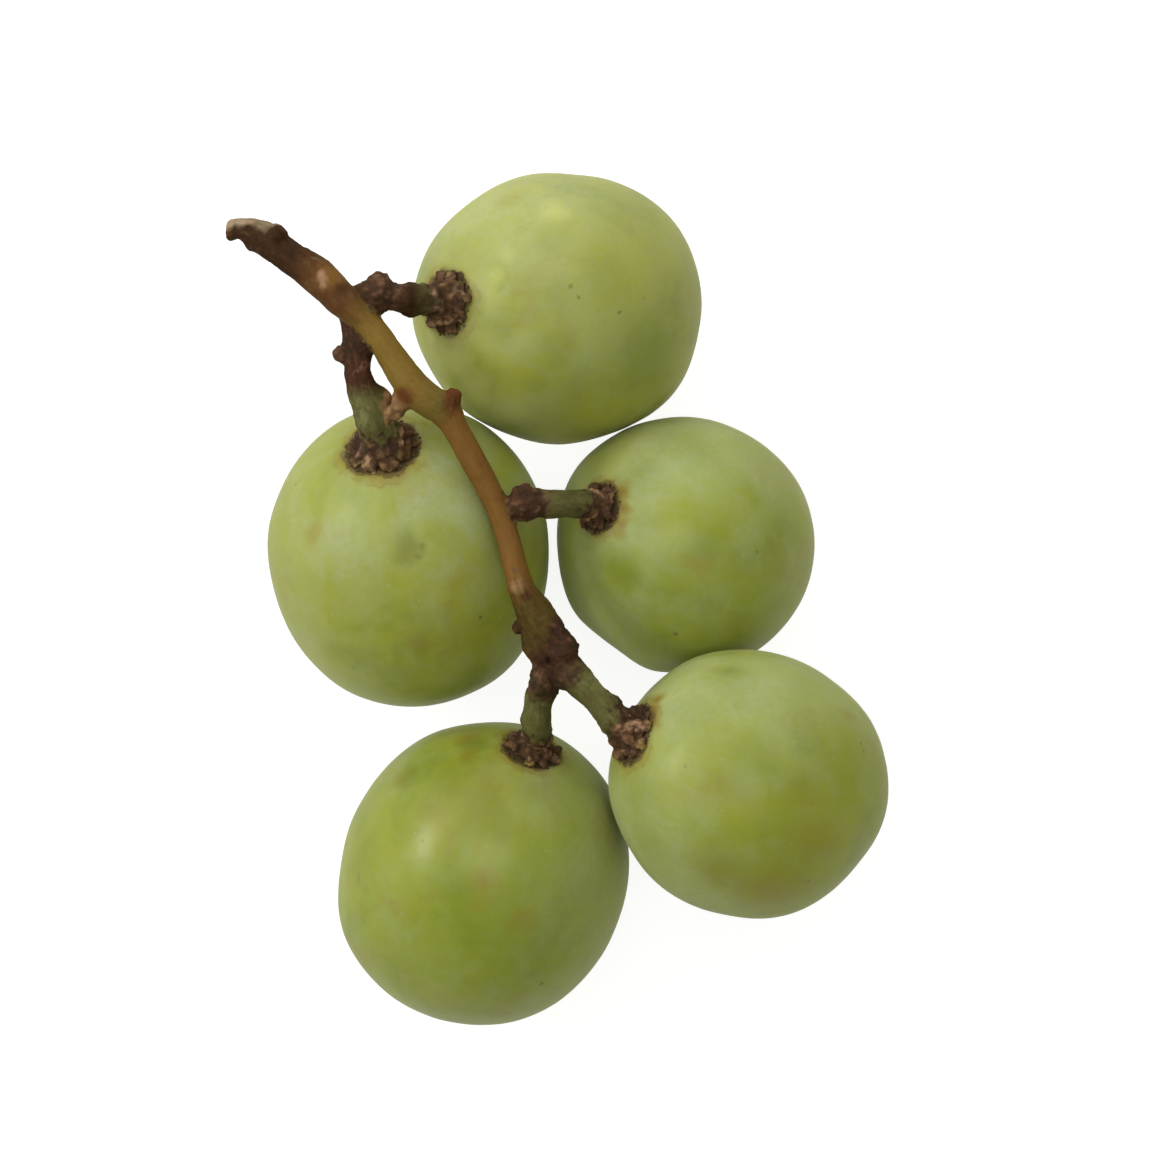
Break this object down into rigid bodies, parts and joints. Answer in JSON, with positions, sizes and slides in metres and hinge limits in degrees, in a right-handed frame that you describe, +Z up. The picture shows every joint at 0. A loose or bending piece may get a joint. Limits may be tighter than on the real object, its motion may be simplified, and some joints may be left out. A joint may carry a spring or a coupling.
{
  "type": "bunch of grapes",
  "caption": "Small bunch of white table grapes lying on a surface: a thin woody stem whose short side stalks, with warty corky feet, each carry a round berry.",
  "frame": {"origin": "on the surface that the bunch lies on, under the middle of its bounding box", "axes": "+Z up from the surface; +Y along the bunch, from its fork towards its cut end; +X to the right seen from above"},
  "size_m": [0.0518, 0.0684, 0.0284],
  "materials": {
    "berry_skin": "thin translucent green skin under a pale waxy bloom, soft broad highlights, small dark specks",
    "stem_wood": "brown bark over ochre and green young wood, knotty, with warty corky caps"
  },
  "bodies": {
    "root": {"stem": "stem_wood", "berry_upper_right": "berry_skin", "berry_left": "berry_skin", "berry_right": "berry_skin", "berry_lower_right": "berry_skin", "berry_lower_left": "berry_skin"}
  },
  "joints": []
}
